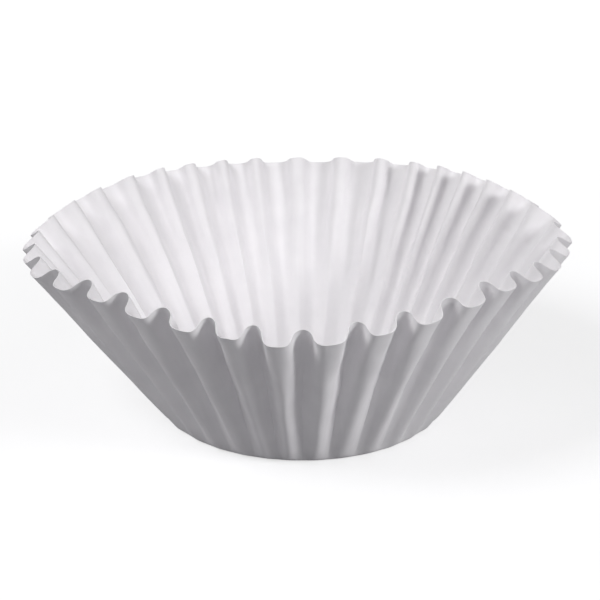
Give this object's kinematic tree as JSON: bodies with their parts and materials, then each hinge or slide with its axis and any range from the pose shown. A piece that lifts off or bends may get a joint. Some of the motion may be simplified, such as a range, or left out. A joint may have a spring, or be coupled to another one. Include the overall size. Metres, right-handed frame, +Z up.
{
  "type": "paper coffee filter",
  "caption": "Basket coffee filter: one round sheet of white paper pressed into a flat bottom and a flaring, fluted wall with a wavy rim.",
  "frame": {"origin": "centre of the flat bottom, on its underside", "axes": "+Z up through the open top, -Y towards the side the picture shows, +X to the picture's right"},
  "size_m": [0.1652, 0.1648, 0.0599],
  "materials": {
    "paper": "matt, slightly rough and a little see-through against light"
  },
  "bodies": {
    "root": {"filter": "paper"}
  },
  "joints": []
}
